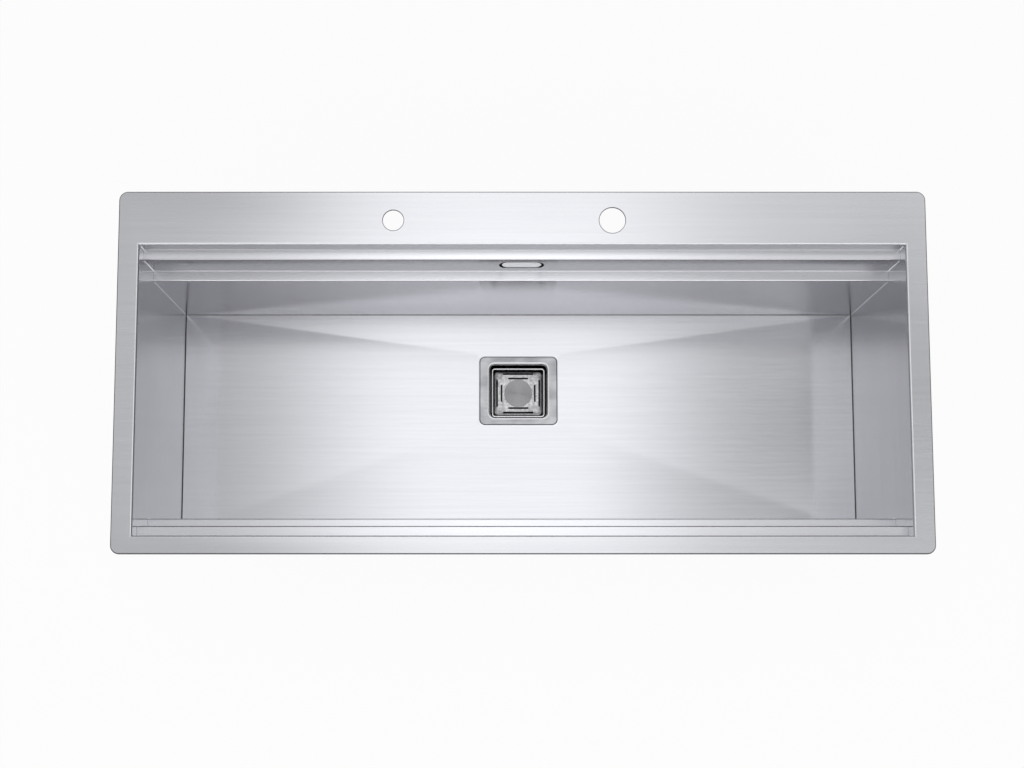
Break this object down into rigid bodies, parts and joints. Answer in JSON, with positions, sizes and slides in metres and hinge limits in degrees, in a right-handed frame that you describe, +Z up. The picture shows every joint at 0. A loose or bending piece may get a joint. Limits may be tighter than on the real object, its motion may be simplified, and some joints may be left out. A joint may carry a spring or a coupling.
{
  "type": "single bowl kitchen sink",
  "caption": "Rectangular stainless single bowl kitchen sink with stepped accessory ledges, square basket waste, overflow and swing-out worktop clips.",
  "frame": {"origin": "centre of the rim's outline, in the plane of the worktop that the rim rests on", "axes": "+X to the right along the rim's width, +Y to the back where the tap stands, +Z up"},
  "size_m": [1.085, 0.49, 0.2895],
  "materials": {
    "brushed_steel_rim": "fine brushing along the rim's width",
    "brushed_steel_wall": "fine brushing along the wall's width",
    "brushed_steel_side": "fine brushing along the wall's depth",
    "brushed_steel_floor": "fine brushing along the floor's width",
    "plain_steel": "dull mill finish",
    "zinc_steel": "bright zinc plating",
    "polished_steel": "polished and lightly brushed",
    "polished_plate": "satin polished",
    "blasted_steel": "bead blasted",
    "turned_steel": "fine turned face",
    "seal_foam": "closed-cell foam",
    "seal_rubber": "moulded rubber",
    "damping_pad": "matt damping sheet",
    "black_plastic": "moulded polypropylene",
    "grey_plastic": "moulded polypropylene",
    "hose_plastic": "ribbed flexible hose",
    "insert_brass": "plain turned"
  },
  "bodies": {
    "sink": {"deck": "brushed_steel_rim", "edge_gasket": "seal_foam", "tap_stiffener": "plain_steel", "rear_wall": "brushed_steel_wall", "front_wall": "brushed_steel_wall", "left_wall": "brushed_steel_side", "right_wall": "brushed_steel_side", "floor_front": "brushed_steel_floor", "floor_right": "brushed_steel_floor", "floor_rear": "brushed_steel_floor", "floor_left": "brushed_steel_floor", "drain_recess": "brushed_steel_floor", "floor_pad_left": "damping_pad", "floor_pad_right": "damping_pad", "side_pad_left": "damping_pad", "side_pad_right": "damping_pad", "earth_tag": "plain_steel", "clip_brackets": "zinc_steel", "drain_flange": "polished_steel", "drain_top_seal": "seal_rubber", "drain_bottom_seal": "seal_rubber", "drain_body": "black_plastic", "screw_insert": "insert_brass", "drain_screw": "polished_steel", "overflow_plate": "polished_plate", "overflow_seal": "seal_rubber", "overflow_box": "grey_plastic", "overflow_studs": "plain_steel", "overflow_nuts": "zinc_steel", "overflow_hose": "hose_plastic", "hose_clip_top": "zinc_steel", "hose_clip_bottom": "zinc_steel"},
    "basket": {"basket_cup": "polished_steel", "basket_lid": "blasted_steel", "lid_disc": "turned_steel", "basket_stem": "grey_plastic", "basket_seal": "seal_rubber"},
    "screw_1": {"clip_screw_1": "zinc_steel"},
    "claw_1": {"clip_claw_1": "zinc_steel"},
    "screw_2": {"clip_screw_2": "zinc_steel"},
    "claw_2": {"clip_claw_2": "zinc_steel"},
    "screw_3": {"clip_screw_3": "zinc_steel"},
    "claw_3": {"clip_claw_3": "zinc_steel"},
    "screw_4": {"clip_screw_4": "zinc_steel"},
    "claw_4": {"clip_claw_4": "zinc_steel"},
    "screw_5": {"clip_screw_5": "zinc_steel"},
    "claw_5": {"clip_claw_5": "zinc_steel"},
    "screw_6": {"clip_screw_6": "zinc_steel"},
    "claw_6": {"clip_claw_6": "zinc_steel"},
    "screw_7": {"clip_screw_7": "zinc_steel"},
    "claw_7": {"clip_claw_7": "zinc_steel"},
    "screw_8": {"clip_screw_8": "zinc_steel"},
    "claw_8": {"clip_claw_8": "zinc_steel"}
  },
  "joints": [
    {"name": "basket_lift", "type": "slide", "parent": "sink", "child": "basket", "axis": [0, 0, 1], "range_m": [0, 0.26]},
    {"name": "clip_1_tighten", "type": "slide", "parent": "sink", "child": "screw_1", "axis": [0, 0, 1], "range_m": [0, 0.016]},
    {"name": "clip_1_swing", "type": "hinge", "parent": "screw_1", "child": "claw_1", "pos_m": [-0.4, 0.2282, -0.05], "axis": [0, 0, 1], "range_deg": [0, 90]},
    {"name": "clip_2_tighten", "type": "slide", "parent": "sink", "child": "screw_2", "axis": [0, 0, 1], "range_m": [0, 0.016]},
    {"name": "clip_2_swing", "type": "hinge", "parent": "screw_2", "child": "claw_2", "pos_m": [0, 0.2282, -0.05], "axis": [0, 0, 1], "range_deg": [0, 90]},
    {"name": "clip_3_tighten", "type": "slide", "parent": "sink", "child": "screw_3", "axis": [0, 0, 1], "range_m": [0, 0.016]},
    {"name": "clip_3_swing", "type": "hinge", "parent": "screw_3", "child": "claw_3", "pos_m": [0.4, 0.2282, -0.05], "axis": [0, 0, 1], "range_deg": [0, 90]},
    {"name": "clip_4_tighten", "type": "slide", "parent": "sink", "child": "screw_4", "axis": [0, 0, 1], "range_m": [0, 0.016]},
    {"name": "clip_4_swing", "type": "hinge", "parent": "screw_4", "child": "claw_4", "pos_m": [0.5257, -0.024, -0.05], "axis": [0, 0, 1], "range_deg": [0, 90]},
    {"name": "clip_5_tighten", "type": "slide", "parent": "sink", "child": "screw_5", "axis": [0, 0, 1], "range_m": [0, 0.016]},
    {"name": "clip_5_swing", "type": "hinge", "parent": "screw_5", "child": "claw_5", "pos_m": [0.4, -0.2282, -0.05], "axis": [0, 0, 1], "range_deg": [0, 90]},
    {"name": "clip_6_tighten", "type": "slide", "parent": "sink", "child": "screw_6", "axis": [0, 0, 1], "range_m": [0, 0.016]},
    {"name": "clip_6_swing", "type": "hinge", "parent": "screw_6", "child": "claw_6", "pos_m": [0, -0.2282, -0.05], "axis": [0, 0, 1], "range_deg": [0, 90]},
    {"name": "clip_7_tighten", "type": "slide", "parent": "sink", "child": "screw_7", "axis": [0, 0, 1], "range_m": [0, 0.016]},
    {"name": "clip_7_swing", "type": "hinge", "parent": "screw_7", "child": "claw_7", "pos_m": [-0.4, -0.2282, -0.05], "axis": [0, 0, 1], "range_deg": [0, 90]},
    {"name": "clip_8_tighten", "type": "slide", "parent": "sink", "child": "screw_8", "axis": [0, 0, 1], "range_m": [0, 0.016]},
    {"name": "clip_8_swing", "type": "hinge", "parent": "screw_8", "child": "claw_8", "pos_m": [-0.5257, -0.024, -0.05], "axis": [0, 0, 1], "range_deg": [0, 90]}
  ]
}
